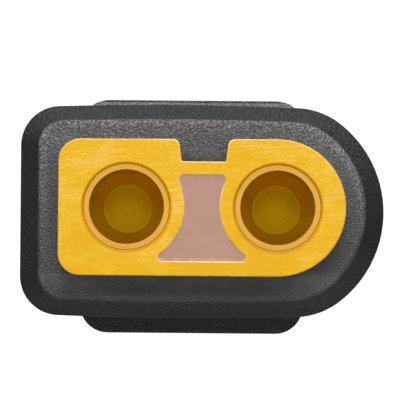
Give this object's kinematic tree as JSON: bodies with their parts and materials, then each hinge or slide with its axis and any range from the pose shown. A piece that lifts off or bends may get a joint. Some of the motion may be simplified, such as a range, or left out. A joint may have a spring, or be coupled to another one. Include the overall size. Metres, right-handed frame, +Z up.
{
  "type": "overmoulded two-pole power connector",
  "caption": "Overmoulded power connector head: keyed D-shaped plug with gilt round sockets, bevelled grained collar, ribbed grip and round cable entry.",
  "frame": {"origin": "middle of the footprint, at the lowest point of the bottom pad", "axes": "+X right seen from the front, square side of the plug at -X and round side at +X; -Y the way the plug points, +Y the way the cable leaves; +Z up, keyway on top"},
  "size_m": [0.0266, 0.052, 0.0172],
  "materials": {
    "insulator": "satin amber nylon with faint flow streaks",
    "gilt_contact": "turned, gold plated",
    "inner_moulding": "flat matt mauve",
    "housing": "fine leather grain, matt black"
  },
  "bodies": {
    "root": {"plug_body": "insulator", "contact_flat_side": "gilt_contact", "contact_round_side": "gilt_contact", "inner_mould": "inner_moulding", "overmould": "housing"}
  },
  "joints": []
}
